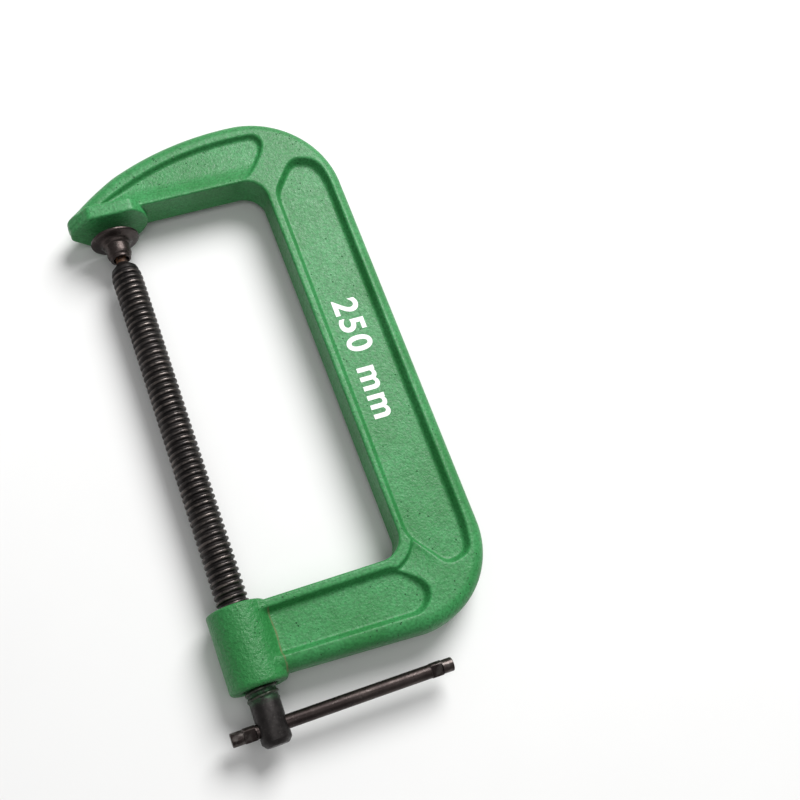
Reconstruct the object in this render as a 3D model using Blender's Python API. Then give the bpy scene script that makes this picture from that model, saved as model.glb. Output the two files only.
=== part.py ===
"""A 250 mm G-clamp lying on its side: a cast frame, a trapezoidal screw with a sliding
tommy bar, and a swivel pad.

The clamp is drawn in its own coordinates and hung on one empty. There the screw runs along
Y on the axis X = 0, Z = 0, the anvil is towards +Y, the spine is at +X and the casting's
parting plane is Z = 0. The empty moves the origin to the middle of the underside.
Sizes are in millimetres, turned into metres by MM.
"""

import math

import bmesh
import bpy
from mathutils import Vector

MM = 0.001

# Jaws
ANVIL_Y = 36.5  # flat face of the anvil
JAW_GAP = 8.3  # between the anvil and the pad as modelled
PAD_FACE_Y = ANVIL_Y - JAW_GAP

# Frame casting
RIM_Z = 12.5  # half the casting's thickness at its rims
WEB_Z = 7.0  # half its thickness in the sunk panels of the spine and lower arm
UPPER_WEB_Z = 9.4  # and of the upper arm
THROAT_TOP_X = 105.2  # spine's inner face, level with the anvil
THROAT_LOW_X = 107.2  # the same at the lower arm
UPPER_ARM_Y = 41.3  # inner face of the upper arm
LOWER_ARM_Y = -232.7  # inner face of the lower arm
THROAT_FILLET = 15.0
CROWN_Y = 88.7  # highest point of the upper arm
CROWN_X = 97.7  # where the long curve of the arm meets the shoulder
ARM_CURVE_R = 210.0
SPINE_OUTER_X = 158.0  # at the shoulder; the edge leans out towards the heel
HEEL_R = 54.5  # outer corner at the lower arm
HEEL_X = 104.9
HEEL_Y = -280.7
LOWER_ARM_AT_BOSS_Y = -276.5
NOSE_X = -26.5
ARM_END_X = -25.5  # the arm's own end, just inside the anvil pad
OUTER_ROUNDING = 8.0
INNER_ROUNDING = 1.2
BEAD_WIDTH = 12.0  # from the outer edge of the upper arm to its panel
PANEL_SLOPE = 0.6  # width of a panel's sloping wall for each millimetre of depth

# Anvil pad: a polygon wider than the arm
ANVIL_HALF_WIDTH = 18.0
ANVIL_FLAT_LOW_X = -13.4  # ends of its side flats
ANVIL_FLAT_HIGH_X = 15.2
ANVIL_CHAMFER = (21.5, 12.0)  # (x, z) of the corner between its two inner chamfers
ANVIL_INNER_X = 25.3
ANVIL_INNER_Z = 3.0
ANVIL_NOSE_Z = 4.0
ANVIL_SIDE_Y = 45.4  # top of its upright sides
ANVIL_ROOF_Y = 47.4
ANVIL_ROOF_INSET = 5.5
ANVIL_EDGE = 0.8

# Boss
BOSS_R = 18.0
BOSS_TOP_Y = -230.7
BOSS_BOTTOM_Y = -280.0
BOSS_ROUNDING = 2.5

# Screw thread, 20 mm by 4 mm trapezoidal
PITCH = 4.0
CREST_R = 10.0
ROOT_R = 8.6
CREST_HALF = 0.6  # half the flat on the crest
ROOT_START = 1.4  # from the crest's middle to the start of the root flat
BORE_CREST_R = 10.45
BORE_ROOT_R = 9.0
BORE_CREST_HALF = 0.8
BORE_ROOT_START = 1.6
THREAD_SEGMENTS = 16
BORE_MOUTH_R = 11.2
BORE_MOUTH_DEPTH = 2.8
COUNTERBORE_R = 10.7  # clears the screw's run-out when the jaws close
COUNTERBORE_DEPTH = 8.0

# Spindle
BALL_R = 6.0
BALL_Y = 19.0
NECK_R = 3.7
NOSE_CURVE = [(-2.0, 10.0), (2.0, 9.2), (4.5, 8.5), (6.5, 7.2), (8.0, 4.8)]  # (y, radius)
NOSE_END_Y = 8.8
THREAD_FIRST_Y = -288.0  # middle of the lowest crest
THREAD_LAST_Y = 4.0  # middle of the highest crest
RUNOUT_TOP_Y = -274.0  # the roots fade out from here
RUNOUT_CREST_DELAY = 10.5  # and the crests this much later
RUNOUT_END_Y = -290.0
HEAD_R = 9.2
HEAD_END_Y = -314.0
HEAD_CHAMFER = 2.0
CROSS_HOLE_Y = -303.0
CROSS_HOLE_R = 4.6

# Swivel pad
PAD_R = 16.0
PAD_RIM = 1.9
PAD_STEP_R = 9.3
SOCKET_R = 8.0
SOCKET_END_Y = 12.2
CAVITY_R = 6.35
MOUTH_R = 5.0

# Tommy bar
BAR_R = 4.25
BAR_LEFT_X = -25.0
BAR_RIGHT_X = 113.5
BAR_CHAMFER = 0.8
STAKE_LEFT_X = -13.8  # middles of the two stakes
STAKE_RIGHT_X = 102.9
STAKE_HALF = 4.0
STAKE_RAMP = 1.0  # length of a punch mark's sloping ends
STAKE_DEPTH = 1.6  # each stake is a flat-bottomed punch mark on both sides
STAKE_SPREAD = 0.1  # that widens the bar between them by this part
STAKE_TURN = 28.0  # degrees the punch marks are turned about the bar
ROUND_SEGMENTS = 32

# Where the origin is: the middle of the underside of the whole clamp
CENTRE_X = (NOSE_X + HEEL_X + HEEL_R) / 2
CENTRE_Y = (CROWN_Y + HEAD_END_Y) / 2
UNDERSIDE_Z = -BOSS_R

GREEN = (0.115, 0.36, 0.16, 1.0)
BLACK = (0.035, 0.030, 0.029, 1.0)


# Scene and mesh helpers


def clear_scene():
    for obj in list(bpy.data.objects):
        bpy.data.objects.remove(obj, do_unlink=True)


def make_material(name, colour, roughness, metallic):
    material = bpy.data.materials.new(name)
    material.use_nodes = True
    shader = material.node_tree.nodes["Principled BSDF"]
    shader.inputs["Base Color"].default_value = colour
    shader.inputs["Roughness"].default_value = roughness
    shader.inputs["Metallic"].default_value = metallic
    return material


def make_object(name, bm, root, material=None, origin=(0.0, 0.0, 0.0)):
    """Turns a bmesh in millimetres into an object whose origin is at the given point."""
    bmesh.ops.recalc_face_normals(bm, faces=bm.faces)
    bmesh.ops.translate(bm, verts=bm.verts, vec=-Vector(origin))
    bmesh.ops.scale(bm, verts=bm.verts, vec=(MM, MM, MM))
    mesh = bpy.data.meshes.new(name)
    bm.to_mesh(mesh)
    bm.free()
    mesh.shade_smooth()
    mesh.set_sharp_from_angle(angle=math.radians(35))
    obj = bpy.data.objects.new(name, mesh)
    obj.location = Vector(origin) * MM
    obj.parent = root
    bpy.context.scene.collection.objects.link(obj)
    if material:
        mesh.materials.append(material)
    return obj


def add_boolean(obj, tool, operation):
    modifier = obj.modifiers.new(tool.name, "BOOLEAN")
    modifier.operation = operation
    modifier.object = tool
    modifier.solver = "EXACT"
    tool.hide_render = True
    tool.display_type = "WIRE"


def arc(centre, radius, start, end, count):
    """Points on an arc from the start angle to the end angle, in degrees, ends included."""
    points = []
    for i in range(count + 1):
        angle = math.radians(start + (end - start) * i / count)
        points.append((centre[0] + radius * math.cos(angle), centre[1] + radius * math.sin(angle)))
    return points


def rounded(corners, steps=4):
    """A closed outline from corners (x, y, radius), each rounded with an arc."""
    points = []
    for i, (x, y, radius) in enumerate(corners):
        here = Vector((x, y))
        back = (Vector(corners[i - 1][:2]) - here).normalized()
        ahead = (Vector(corners[(i + 1) % len(corners)][:2]) - here).normalized()
        if radius == 0:
            points.append((x, y))
            continue
        half = back.angle(ahead) / 2
        centre = here + (back + ahead).normalized() * (radius / math.sin(half))
        first = here + back * (radius / math.tan(half)) - centre
        last = here + ahead * (radius / math.tan(half)) - centre
        start = math.degrees(math.atan2(first.y, first.x))
        turn = math.degrees(math.atan2(last.y, last.x)) - start
        turn = (turn + 180) % 360 - 180
        points += arc(centre, radius, start, start + turn, steps)
    return points


def inset(points, distances):
    """Moves a counterclockwise outline inwards, each point by its own distance."""
    moved = []
    for i, point in enumerate(points):
        here = Vector(point)
        before = (here - Vector(points[i - 1])).normalized()
        after = (Vector(points[(i + 1) % len(points)]) - here).normalized()
        middle = (before + after).normalized()
        normal = Vector((-middle.y, middle.x))
        moved.append(tuple(here + normal * (distances[i] / before.dot(middle))))
    return moved


def bridge(bm, loops):
    """Joins rings of points with quads, and closes both ends."""
    rings = [[bm.verts.new(point) for point in loop] for loop in loops]
    count = len(rings[0])
    for low, high in zip(rings, rings[1:]):
        for i in range(count):
            j = (i + 1) % count
            bm.faces.new((low[i], low[j], high[j], high[i]))
    bm.faces.new(rings[0])
    bm.faces.new(rings[-1])


def turned(profile, segments):
    """A body turned about Y from a profile of (radius, y) that starts and ends at radius 0."""
    bm = bmesh.new()
    rings = []
    for radius, y in profile:
        if radius == 0:
            rings.append([bm.verts.new((0, y, 0))])
            continue
        turns = [2 * math.pi * i / segments for i in range(segments)]
        rings.append([bm.verts.new((radius * math.cos(a), y, radius * math.sin(a))) for a in turns])
    for low, high in zip(rings, rings[1:]):
        for i in range(segments):
            j = (i + 1) % segments
            corners = [low[i % len(low)], low[j % len(low)], high[j % len(high)], high[i % len(high)]]
            bm.faces.new(list(dict.fromkeys(corners)))
    return bm


# Screw thread, shared by the spindle and the tapped bore


def threaded_rod(profile, first_y, last_y, limit, below, above):
    """A closed right-hand threaded rod about Y.

    profile is one pitch of the thread as (offset along the axis, radius). first_y and last_y
    are the middles of its lowest and highest crests. limit(y, radius) gives the radius that a
    point of the thread really has. below and above are the plain rings (radius, y) from the
    thread out to the rod's two ends, each ending at radius 0.
    """
    bm = bmesh.new()
    n = THREAD_SEGMENTS
    last = round((last_y - first_y) / PITCH) * n

    def place(radius, y, step):
        angle = 2 * math.pi * step / n
        return bm.verts.new((radius * math.cos(angle), y, -radius * math.sin(angle)))

    rows = []
    for i in range(last + n + 1):
        points = profile if i <= last else profile[:1]
        crest_y = first_y + PITCH * i / n
        rows.append([place(limit(crest_y + dy, r), crest_y + dy, i) for dy, r in points])

    # a column ends on the first point of the column one turn further on
    for i in range(last):
        here = rows[i] + rows[i + n][:1]
        ahead = rows[i + 1] + rows[i + 1 + n][:1]
        for j in range(len(profile)):
            bm.faces.new((here[j], here[j + 1], ahead[j + 1], ahead[j]))

    for start, rings in ((0, below), (last, above)):
        edge = [rows[start + k][0] for k in range(n + 1)]
        ring = [place(*rings[0], k) for k in range(n)]
        for k in range(n):
            bm.faces.new((edge[k], edge[k + 1], ring[(k + 1) % n], ring[k]))
        bm.faces.new([ring[0]] + rows[start] + [edge[n]])
        for radius, y in rings[1:]:
            if radius == 0:
                tip = place(0, y, 0)
                for k in range(n):
                    bm.faces.new((ring[k], ring[(k + 1) % n], tip))
                break
            ahead = [place(radius, y, k) for k in range(n)]
            for k in range(n):
                bm.faces.new((ring[k], ring[(k + 1) % n], ahead[(k + 1) % n], ahead[k]))
            ring = ahead
    return bm


def thread_profile(crest_r, root_r, crest_half, root_start):
    return [
        (-root_start, root_r),
        (-crest_half, crest_r),
        (crest_half, crest_r),
        (root_start, root_r),
    ]


# Frame casting


def frame_outline():
    """The casting's outline, counterclockwise, and how far its edge is rounded at each point."""
    heel = (HEEL_X, HEEL_Y + HEEL_R)
    shoulder_r = SPINE_OUTER_X - CROWN_X
    arm_centre = (CROWN_X, CROWN_Y - ARM_CURVE_R)
    nose_angle = math.degrees(math.acos((ARM_END_X - CROWN_X) / ARM_CURVE_R))
    outer = [(0.0, LOWER_ARM_AT_BOSS_Y)]
    outer += arc(heel, HEEL_R, -90, 0, 9)
    outer += arc((CROWN_X, CROWN_Y - shoulder_r), shoulder_r, 0, 90, 9)
    outer += arc(arm_centre, ARM_CURVE_R, 90, nose_angle, 10)[1:]

    upper = (THROAT_TOP_X - THROAT_FILLET, UPPER_ARM_Y - THROAT_FILLET)
    lower = (THROAT_LOW_X - THROAT_FILLET, LOWER_ARM_Y + THROAT_FILLET)
    inner = [(ARM_END_X, UPPER_ARM_Y)]
    inner += arc(upper, THROAT_FILLET, 90, 0, 5)
    inner += arc(lower, THROAT_FILLET, 0, -90, 5)
    inner += [(0.0, LOWER_ARM_Y)]
    rounding = [OUTER_ROUNDING] * len(outer) + [INNER_ROUNDING] * len(inner)
    return outer + inner, rounding


def make_c_body(root, material):
    outline, rounding = frame_outline()
    levels = []
    for degrees in (0, 22.5, 45, 67.5, 90):
        angle = math.radians(degrees)
        moved = inset(outline, [r * (1 - math.cos(angle)) for r in rounding])
        heights = [RIM_Z - r * (1 - math.sin(angle)) for r in rounding]
        levels.append([(x, y, z) for (x, y), z in zip(moved, heights)])
    underside = [[(x, y, -z) for x, y, z in level] for level in reversed(levels)]
    bm = bmesh.new()
    bridge(bm, underside + levels)
    return make_object("frame_casting", bm, root, material)


def make_anvil(root):
    """The anvil pad: a many-sided block with a sloping roof that runs into the arm."""
    upper = [
        (ANVIL_INNER_X, ANVIL_INNER_Z),
        ANVIL_CHAMFER,
        (ANVIL_FLAT_HIGH_X, ANVIL_HALF_WIDTH),
        (ANVIL_FLAT_LOW_X, ANVIL_HALF_WIDTH),
        (NOSE_X, ANVIL_NOSE_Z),
    ]
    corners = upper + [(x, -z) for x, z in reversed(upper)]

    def section(y, shrink):
        return [(x, y, z) for x, z in inset(corners, [shrink] * len(corners))]

    bm = bmesh.new()
    levels = [
        (ANVIL_Y, ANVIL_EDGE),
        (ANVIL_Y + ANVIL_EDGE, 0),
        (ANVIL_SIDE_Y, 0),
        (ANVIL_ROOF_Y, ANVIL_ROOF_INSET),
    ]
    bridge(bm, [section(y, shrink) for y, shrink in levels])
    return make_object("anvil_block", bm, root)


def make_nose_cutters(root):
    """Wedges that give the arm's nose the anvil pad's two chamfers, set just inside them."""
    margin = 4.0
    inside = 0.5
    bm = bmesh.new()
    for side in (-1, 1):
        corners = [
            (NOSE_X + inside, ANVIL_NOSE_Z),
            (ANVIL_FLAT_LOW_X + inside, ANVIL_HALF_WIDTH),
            (NOSE_X - margin, ANVIL_HALF_WIDTH),
            (NOSE_X - margin, ANVIL_NOSE_Z),
        ]
        levels = (ANVIL_Y - margin, CROWN_Y)
        bridge(bm, [[(x, y, side * z) for x, z in corners] for y in levels])
    return make_object("nose_cutters", bm, root)


def make_boss(root):
    corner = (BOSS_R - BOSS_ROUNDING, BOSS_BOTTOM_Y + BOSS_ROUNDING)
    profile = [(0, BOSS_TOP_Y), (BOSS_R - INNER_ROUNDING, BOSS_TOP_Y)]
    profile += [(BOSS_R, BOSS_TOP_Y - INNER_ROUNDING)]
    profile += arc(corner, BOSS_ROUNDING, 0, -90, 3)
    profile += [(0, BOSS_BOTTOM_Y)]
    return make_object("boss_block", turned(profile, ROUND_SEGMENTS), root)


def panel_outlines():
    """The sunk panels' rim edges, counterclockwise: spine, lower arm and upper arm."""
    spine = [
        (111.0, -222.0, 6),
        (130.0, -246.8, 6),
        (138.2, -246.8, 6),
        (150.0, -234.0, 8),
        (150.0, 37.0, 8),
        (138.5, 49.6, 6),
        (127.2, 49.6, 5),
        (110.7, 30.0, 6),
    ]
    lower_arm = [
        (14.0, -268.0, 0),
        (105.5, -270.2, 7),
        (114.3, -262.0, 5),
        (112.3, -250.5, 6),
        (99.5, -238.0, 9),
        (14.0, -238.0, 0),
    ]
    upper_arm = [
        (96.5, 45.7, 6),
        (113.5, 62.5, 5),
        (112.5, 71.5, 5),
        (104.0, 76.7, 6),
    ]
    inner_r = ARM_CURVE_R - BEAD_WIDTH
    arm_centre = (CROWN_X, CROWN_Y - ARM_CURVE_R)
    upper_arm += [(x, y, 0) for x, y in arc(arm_centre, inner_r, 92, 116, 7)]
    upper_arm += [(-3.5, 45.7, 0)]
    return [rounded(spine), rounded(lower_arm), rounded(upper_arm)]


def make_panel_cutters(root):
    """Tapered blocks that sink the panels from both faces of the casting."""
    bm = bmesh.new()
    clear = 1.0  # how far the blocks stand above the rims
    for outline, web_z in zip(panel_outlines(), (WEB_Z, WEB_Z, UPPER_WEB_Z)):
        floor = inset(outline, [PANEL_SLOPE * (RIM_Z - web_z)] * len(outline))
        top = inset(outline, [-PANEL_SLOPE * clear] * len(outline))
        for side in (-1, 1):
            loops = [[(x, y, side * web_z) for x, y in floor]]
            loops += [[(x, y, side * (RIM_Z + clear)) for x, y in top]]
            bridge(bm, loops)
    return make_object("panel_cutters", bm, root)


def make_tap(root):
    """The boss's tapped hole."""
    profile = thread_profile(BORE_CREST_R, BORE_ROOT_R, BORE_CREST_HALF, BORE_ROOT_START)
    first_y = PITCH * math.floor((BOSS_BOTTOM_Y + COUNTERBORE_DEPTH) / PITCH) - PITCH
    last_y = PITCH * math.ceil(BOSS_TOP_Y / PITCH)
    end_r = BORE_ROOT_R - 1
    below = [(end_r, first_y - PITCH), (0, first_y - PITCH)]
    above = [(end_r, last_y + 2 * PITCH), (0, last_y + 2 * PITCH)]
    bm = threaded_rod(profile, first_y, last_y, lambda y, radius: radius, below, above)
    return make_object("tap", bm, root)


def make_countersinks(root):
    """A spool that countersinks the top of the tapped hole and counterbores the bottom."""
    clear = 1.0
    waist_r = BORE_ROOT_R - 1
    spread = (BORE_MOUTH_R - waist_r) * clear / BORE_MOUTH_DEPTH
    profile = [
        (0, BOSS_TOP_Y + clear),
        (BORE_MOUTH_R + spread, BOSS_TOP_Y + clear),
        (waist_r, BOSS_TOP_Y - BORE_MOUTH_DEPTH),
        (waist_r, BOSS_BOTTOM_Y + COUNTERBORE_DEPTH),
        (COUNTERBORE_R, BOSS_BOTTOM_Y + COUNTERBORE_DEPTH),
        (COUNTERBORE_R, BOSS_BOTTOM_Y - clear),
        (0, BOSS_BOTTOM_Y - clear),
    ]
    return make_object("countersinks", turned(profile, ROUND_SEGMENTS), root)


def make_frame(root, material):
    frame = make_c_body(root, material)
    add_boolean(frame, make_panel_cutters(root), "DIFFERENCE")
    add_boolean(frame, make_nose_cutters(root), "DIFFERENCE")
    add_boolean(frame, make_anvil(root), "UNION")
    add_boolean(frame, make_boss(root), "UNION")
    add_boolean(frame, make_countersinks(root), "DIFFERENCE")
    add_boolean(frame, make_tap(root), "DIFFERENCE")


# Spindle


def spindle_limit(y, radius):
    """The thread's radius after the nose is rounded off and the run-out fades."""
    if y > NOSE_CURVE[0][0]:
        for (y0, r0), (y1, r1) in zip(NOSE_CURVE, NOSE_CURVE[1:]):
            if y <= y1:
                return min(radius, r0 + (r1 - r0) * (y - y0) / (y1 - y0))
    top = RUNOUT_TOP_Y - RUNOUT_CREST_DELAY * (radius - ROOT_R) / (CREST_R - ROOT_R)
    fade = min(max((top - y) / (top - RUNOUT_END_Y), 0), 1)
    return radius + (HEAD_R - radius) * fade


def make_spindle(root, material):
    """Ball, neck, thread and head in one bar, with a cross hole for the handle."""
    profile = thread_profile(CREST_R, ROOT_R, CREST_HALF, ROOT_START)
    neck_angle = math.degrees(math.acos(NECK_R / BALL_R))
    above = [(NOSE_CURVE[-1][1], NOSE_CURVE[-1][0]), (NECK_R, NOSE_END_Y)]
    above += arc((0, BALL_Y), BALL_R, -neck_angle, 90, 7)[:-1]
    above += [(0, BALL_Y + BALL_R)]
    below = [
        (HEAD_R, RUNOUT_END_Y),
        (HEAD_R, HEAD_END_Y + HEAD_CHAMFER),
        (HEAD_R - HEAD_CHAMFER, HEAD_END_Y),
        (0, HEAD_END_Y),
    ]
    bm = threaded_rod(profile, THREAD_FIRST_Y, THREAD_LAST_Y, spindle_limit, below, above)
    spindle = make_object("spindle", bm, root, material)

    bm = bmesh.new()
    reach = HEAD_R + 2
    bridge(bm, [bar_ring(x, CROSS_HOLE_R) for x in (-reach, reach)])
    add_boolean(spindle, make_object("cross_hole", bm, root), "DIFFERENCE")


# Swivel pad


def make_pad(root, material):
    """The shoe, turned in one piece: a flange, a stepped cone and a socket round the ball."""
    profile = [
        (0, PAD_FACE_Y),
        (PAD_R - 0.8, PAD_FACE_Y),
        (PAD_R, PAD_FACE_Y - 0.8),
        (PAD_R, PAD_FACE_Y - PAD_RIM),
        (PAD_STEP_R + 0.9, PAD_FACE_Y - PAD_RIM - 1.2),
        (PAD_STEP_R, PAD_FACE_Y - PAD_RIM - 3.4),
        (SOCKET_R, PAD_FACE_Y - PAD_RIM - 4.0),
        (SOCKET_R, SOCKET_END_Y + 2.4),
        (SOCKET_R - 0.7, SOCKET_END_Y + 0.8),
        (SOCKET_R - 2.0, SOCKET_END_Y),
        (MOUTH_R, SOCKET_END_Y),
    ]
    mouth_angle = math.degrees(math.acos(MOUTH_R / CAVITY_R))
    cavity = arc((0, BALL_Y), CAVITY_R, -mouth_angle, 90, 7)
    bm = turned(profile + cavity[:-1] + [(0, BALL_Y + CAVITY_R)], ROUND_SEGMENTS)
    make_object("swivel_pad", bm, root, material, origin=(0, BALL_Y, 0))


# Tommy bar


def bar_ring(x, radius, press=0):
    """A ring round the tommy bar's axis, punched flat on both sides where press is 1."""
    flat = radius - STAKE_DEPTH * press
    turn = math.radians(STAKE_TURN)
    ring = []
    for i in range(ROUND_SEGMENTS):
        angle = 2 * math.pi * i / ROUND_SEGMENTS
        along = radius * (1 + STAKE_SPREAD * press) * math.cos(angle)
        up = max(-flat, min(flat, radius * math.sin(angle)))
        y = along * math.cos(turn) - up * math.sin(turn)
        z = along * math.sin(turn) + up * math.cos(turn)
        ring.append((x, CROSS_HOLE_Y + y, z))
    return ring


def make_tommy_bar(root, material):
    """A plain round bar with a stake near each end."""
    rings = [bar_ring(BAR_LEFT_X, BAR_R - BAR_CHAMFER), bar_ring(BAR_LEFT_X + BAR_CHAMFER, BAR_R)]
    for middle in (STAKE_LEFT_X, STAKE_RIGHT_X):
        rings.append(bar_ring(middle - STAKE_HALF, BAR_R))
        rings.append(bar_ring(middle - STAKE_HALF + STAKE_RAMP, BAR_R, 1))
        rings.append(bar_ring(middle + STAKE_HALF - STAKE_RAMP, BAR_R, 1))
        rings.append(bar_ring(middle + STAKE_HALF, BAR_R))
    rings += [bar_ring(BAR_RIGHT_X - BAR_CHAMFER, BAR_R), bar_ring(BAR_RIGHT_X, BAR_R - BAR_CHAMFER)]
    bm = bmesh.new()
    bridge(bm, rings)
    make_object("tommy_bar", bm, root, material, origin=(0, CROSS_HOLE_Y, 0))


def main():
    clear_scene()
    root = bpy.data.objects.new("g_clamp", None)
    root.location = (-CENTRE_X * MM, -CENTRE_Y * MM, -UNDERSIDE_Z * MM)
    bpy.context.scene.collection.objects.link(root)
    paint = make_material("green_paint", GREEN, 0.4, 0.0)
    steel = make_material("black_steel", BLACK, 0.5, 0.6)
    handle_steel = make_material("handle_steel", BLACK, 0.45, 0.6)
    pad_steel = make_material("pad_steel", BLACK, 0.55, 0.6)
    make_frame(root, paint)
    make_spindle(root, steel)
    make_pad(root, pad_steel)
    make_tommy_bar(root, handle_steel)


main()
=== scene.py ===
"""The looks of a green cast G-clamp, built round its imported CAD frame.

Shapes are drawn in millimetres in the clamp's own coordinates: the screw's axis is Y, the
anvil is towards +Y, the spine is at +X, and Z = 0 is the casting's parting plane. Every piece
is an object that sits at the clamp's origin, so object coordinates in the materials are these
coordinates in metres.
"""

import math

import bmesh
import bpy
import numpy as np
from mathutils import Matrix, Vector


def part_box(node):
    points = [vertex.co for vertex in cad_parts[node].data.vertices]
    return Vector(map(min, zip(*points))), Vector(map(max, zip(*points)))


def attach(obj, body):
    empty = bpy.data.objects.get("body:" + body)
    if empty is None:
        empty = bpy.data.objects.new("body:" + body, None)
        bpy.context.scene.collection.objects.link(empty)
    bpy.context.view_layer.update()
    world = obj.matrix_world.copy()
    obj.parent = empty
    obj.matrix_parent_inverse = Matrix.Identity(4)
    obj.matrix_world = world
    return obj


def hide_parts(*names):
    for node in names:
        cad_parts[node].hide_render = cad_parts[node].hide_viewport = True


MM = 0.001

# Jaws
ANVIL_Y = 36.5
PAD_FACE_Y = 28.2

# Casting
ANVIL_SIDE_Y = 46.0
ANVIL_ROOF_SLOPE = 0.36
ANVIL_FLATS = (
    (25.3, -40.0),
    (25.3, 3.0),
    (21.5, 12.0),
    (15.2, 18.0),
    (-60.0, 18.0),
    (-60.0, -40.0),
)
NOSE_CUT = (
    (400.0, -40.0),
    (400.0, 60.0),
    (25.9, 60.0),
    (-26.5, 4.0),
    (-26.5, -40.0),
)
FACET_SOFTNESS = 1.5
NOSE_SOFTNESS = 0.8
ANVIL_TOP_SOFTNESS = 1.4
ANVIL_FACE_SOFTNESS = 1.2
ANVIL_FILLET = 1.6
ANVIL_RISE = 8
MIDDLE_Y = -100
RIM_Z = 12.5
WEB_Z = 7.0
UPPER_WEB_Z = 8.9
UPPER_WEB_RAMP = (42.5, 57.0)
CROWN = (97.7, 88.7)
ARM_CURVE_R = 210.0
NOSE_DROOP = 0.08
NOSE_DROOP_X = 10.0
NOSE_DROOP_MAX = 2.2
SHOULDER_R = 60.3
HEEL = (104.9, -280.7)
HEEL_R = 54.5
SPINE_OUTER_LEAN = 0.0055
LOWER_EDGE_SLOPE = 0.046
SPINE_INNER_X = 105.2
SPINE_LEAN = 0.0095
UPPER_ARM_Y = 41.3
UPPER_ARM_RISE = 0.009
LOWER_ARM_Y = -232.7
THROAT_FILLET = 15.0
BEAD_R = 9.0
INNER_EDGE_R = 1.5
PANEL_SLOPE = 0.5
PANEL_FILLET = 1.3
PANEL_RIM_SOFTNESS = 1.0
SPINE_PANEL = (
    (110.9, -222.5),
    (129.8, -247.2),
    (139.0, -247.2),
    (146.8, -243.4),
    (150.2, -233.0),
    (150.2, 35.0),
    (146.6, 45.0),
    (138.5, 50.6),
    (127.8, 50.6),
    (110.5, 29.5),
)
LOWER_PANEL = (
    (4.0, -267.4),
    (105.5, -270.4),
    (114.6, -261.0),
    (113.0, -250.5),
    (99.0, -237.8),
    (4.0, -237.8),
)
UPPER_PANEL = (
    (-12.0, 42.0),
    (95.0, 42.0),
    (113.8, 62.2),
    (116.2, 69.5),
    (114.0, 77.5),
    (107.0, 82.5),
    (97.7, 92.0),
    (-12.0, 92.0),
)
PANEL_SOFTNESS = 4.5
UPPER_PANEL_SOFTNESS = 6.5
ARM_RIM_WIDTH = 12.0
ARCH_SOFTNESS = 2.5
STEP_CENTRE = (111.0, -238.5)
STEP_REACH = 24.0
STEP_INSET = 7.2
STEP_FADE = 24.0
STEP_DEPTH = 3.6
STEP_WIDTH = 1.8
STEP_FALLOFF = 1.5
BOSS_R = 18.0
BOSS_TOP_Y = -230.7
BOSS_BOTTOM_Y = -280.0
BOSS_BOTTOM_EDGE_R = 2.6
BOSS_TOP_EDGE_R = 1.6
BOSS_FILLET = 2.6
BORE_R = 10.5
BORE_OVERRUN = 6
BORE_SOFTNESS = 1.0
MOUTH_CHAMFER = 0.6
COUNTERBORE_Y = -272.0
BORE_THREAD_ROOT_R = 10.4
BORE_THREAD_CREST_R = 9.0
BORE_ROOT_HALF = 0.75
BORE_FLANK = 0.85
BORE_THREAD_Y = (-268.0, -236.0)
SLEEVE_COVER = 0.6
SLEEVE_END_R = 9.8
SLEEVE_LIP = 4.4

# Screw
PITCH = 4.0
CREST_R = 10.0
ROOT_R = 8.6
CREST_HALF = 0.5
FLANK = 1.0
THREAD_STEPS = 48
FLANK_STRAIGHTNESS = 0.35
NOSE_CURVE = ((-2.0, 10.0), (2.0, 9.2), (4.5, 8.5), (6.5, 7.2), (8.0, 4.8))
THREAD_FIRST_Y = -288.0
THREAD_LAST_Y = 4.0
RUNOUT_TOP_Y = -274.0
RUNOUT_END_Y = -290.0
RUNOUT_CREST_DELAY = 10.5
HEAD_R = 9.2
HEAD_END_Y = -314.0
HEAD_END_CURVE = (
    (HEAD_R, HEAD_END_Y + 3.2),
    (HEAD_R - 0.15, HEAD_END_Y + 2.6),
    (HEAD_R - 2.1, HEAD_END_Y + 0.4),
    (HEAD_R - 2.6, HEAD_END_Y),
    (0.5, HEAD_END_Y),
)
BALL_Y = 19.0
BALL_R = 6.0
NECK_R = 3.7
NECK_CURVE = ((4.8, 8.0), (4.3, 8.6), (3.9, 9.4), (NECK_R, 10.4))
CROSS_HOLE_Y = -303.0
CROSS_HOLE_R = 4.55
CROSS_HOLE_FLARE = ((5.8, 13.0), (5.3, 9.0), (CROSS_HOLE_R, 7.8))

# Swivel pad
PAD_R = 16.0
SOCKET_END_Y = 12.2
PAD_CURVE = (
    (0.4, PAD_FACE_Y),
    (PAD_R, PAD_FACE_Y),
    (PAD_R, PAD_FACE_Y - 1.7),
    (14.6, PAD_FACE_Y - 2.3),
    (10.8, PAD_FACE_Y - 3.0),
    (9.6, PAD_FACE_Y - 3.9),
    (9.2, PAD_FACE_Y - 5.4),
    (8.2, PAD_FACE_Y - 6.0),
    (8.0, PAD_FACE_Y - 9.4),
    (8.1, PAD_FACE_Y - 11.4),
    (7.7, SOCKET_END_Y + 2.8),
    (6.8, SOCKET_END_Y + 2.0),
    (6.7, SOCKET_END_Y + 0.4),
    (6.3, SOCKET_END_Y),
    (5.2, SOCKET_END_Y),
    (5.0, SOCKET_END_Y + 1.2),
)
PAD_EDGE_R = 0.6
CAVITY_R = 6.35
CAVITY_MOUTH_R = 5.0

# Handle
BAR_R = 4.25
BAR_EDGE_R = 0.7
BAR_LEFT_X = -25.0
BAR_RIGHT_X = 113.5
STAKE_XS = (-13.8, 102.9)
STAKE_HALF = 4.0
STAKE_DEPTH = 1.8
STAKE_SPREAD = 0.09
STAKE_TURN = 28.0
STAKE_RAMP = 0.7
STAKE_STATIONS = 25
STAKE_MARGIN = 0.2

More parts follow.
